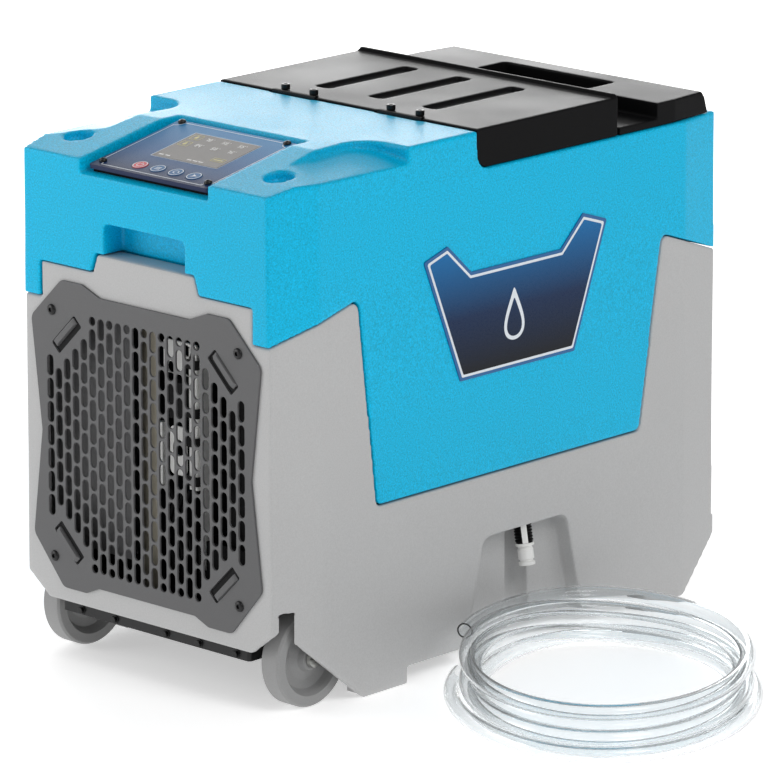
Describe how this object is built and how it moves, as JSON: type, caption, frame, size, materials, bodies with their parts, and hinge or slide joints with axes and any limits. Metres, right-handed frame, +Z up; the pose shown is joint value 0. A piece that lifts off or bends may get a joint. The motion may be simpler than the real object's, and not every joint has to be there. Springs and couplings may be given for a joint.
{
  "type": "dehumidifier",
  "caption": "Portable restoration dehumidifier with two moulded shells, a slotted intake grille, a sloping control panel, a hinged storage lid and a coiled drain hose.",
  "frame": {"origin": "on the floor, at the centre of the machine's own footprint, without the hose", "axes": "+Z up, -Y out of the intake grille, +X towards the side with the drain fitting and the hose"},
  "size_m": [0.7292, 0.6776, 0.558],
  "materials": {
    "blue_plastic": "rotomoulded polyethylene, fine grain",
    "grey_plastic": "rotomoulded polyethylene, fine grain",
    "black_plastic": "satin",
    "coated_steel": "powder coat",
    "black_steel": "black oxide and black paint",
    "panel_overlay": "printed overlay, satin",
    "red_plastic": "satin",
    "display_window": "clear window over a grey display",
    "badge": "printed plate",
    "wheel_plastic": "moulded",
    "zinc_steel": "zinc plated",
    "galvanised": "galvanised",
    "aluminium": "fin stock",
    "copper": "drawn copper",
    "white_plastic": "moulded",
    "circuit_board": "solder mask",
    "clear_vinyl": "clear, flexible"
  },
  "bodies": {
    "chassis": {"upper_shell": "blue_plastic", "lower_shell": "grey_plastic", "front_grille": "coated_steel", "grille_screw_upper_left": "black_steel", "grille_screw_upper_right": "black_steel", "grille_screw_lower_left": "black_steel", "grille_screw_lower_right": "black_steel", "control_panel": "panel_overlay", "display_window": "display_window", "panel_screw_front_left": "black_steel", "panel_screw_front_right": "black_steel", "panel_screw_rear_left": "black_steel", "panel_screw_rear_right": "black_steel", "hinge_leaf_left": "black_steel", "hinge_leaf_right": "black_steel", "rear_cover": "black_plastic", "side_badge_left": "badge", "side_badge_right": "badge", "drain_sleeve": "black_plastic", "drain_connector": "white_plastic", "outlet_grille": "coated_steel", "cord_gland": "black_plastic", "axle_left": "zinc_steel", "axle_right": "zinc_steel", "base_pan": "black_steel", "intake_screen": "black_plastic", "evaporator_coil": "aluminium", "condenser_coil": "aluminium", "coil_end_plate": "galvanised", "condensate_tray": "black_plastic", "fan_wall": "grey_plastic", "fan_motor": "zinc_steel", "motor_bracket": "zinc_steel", "compressor": "black_steel", "accumulator": "black_steel", "suction_pipe": "copper", "discharge_pipe": "copper", "filter_drier": "copper", "run_capacitor": "zinc_steel", "control_board": "circuit_board", "pump_tank": "white_plastic", "condensate_pump": "black_plastic", "float_stem": "zinc_steel", "hose_coil": "clear_vinyl"},
    "lid": {"storage_lid": "black_plastic", "lid_strap_left": "black_steel", "lid_strap_right": "black_steel", "hinge_bolt_inner_left": "black_steel", "hinge_bolt_inner_right": "black_steel", "hinge_bolt_outer_left": "black_steel", "hinge_bolt_outer_right": "black_steel"},
    "left_wheel": {"wheel_left": "wheel_plastic"},
    "right_wheel": {"wheel_right": "wheel_plastic"},
    "fan": {"fan_impeller": "black_plastic"},
    "float": {"pump_float": "white_plastic"},
    "power_button": {"button_power": "red_plastic"},
    "mode_button": {"button_mode": "panel_overlay"},
    "set_button": {"button_set": "panel_overlay"},
    "timer_button": {"button_timer": "panel_overlay"}
  },
  "joints": [
    {"name": "lid_hinge", "type": "hinge", "parent": "chassis", "child": "lid", "pos_m": [0, -0.0443, 0.5512], "axis": [1, 0, 0], "range_deg": [0, 95]},
    {"name": "left_wheel_spin", "type": "hinge", "parent": "chassis", "child": "left_wheel", "pos_m": [-0.1555, -0.271, 0.05], "axis": [1, 0, 0], "continuous": true},
    {"name": "right_wheel_spin", "type": "hinge", "parent": "chassis", "child": "right_wheel", "pos_m": [0.1555, -0.271, 0.05], "axis": [1, 0, 0], "continuous": true},
    {"name": "fan_spin", "type": "hinge", "parent": "chassis", "child": "fan", "pos_m": [0, 0.245, 0.215], "axis": [0, 1, 0], "continuous": true},
    {"name": "float_rise", "type": "slide", "parent": "chassis", "child": "float", "axis": [0, 0, 1], "range_m": [0, 0.06]},
    {"name": "power_press", "type": "slide", "parent": "chassis", "child": "power_button", "axis": [0, 0.1895, -0.9819], "range_m": [0, 0.0012], "stiffness_N_per_m": 500},
    {"name": "mode_press", "type": "slide", "parent": "chassis", "child": "mode_button", "axis": [0, 0.1895, -0.9819], "range_m": [0, 0.0012], "stiffness_N_per_m": 500},
    {"name": "set_press", "type": "slide", "parent": "chassis", "child": "set_button", "axis": [0, 0.1895, -0.9819], "range_m": [0, 0.0012], "stiffness_N_per_m": 500},
    {"name": "timer_press", "type": "slide", "parent": "chassis", "child": "timer_button", "axis": [0, 0.1895, -0.9819], "range_m": [0, 0.0012], "stiffness_N_per_m": 500}
  ]
}
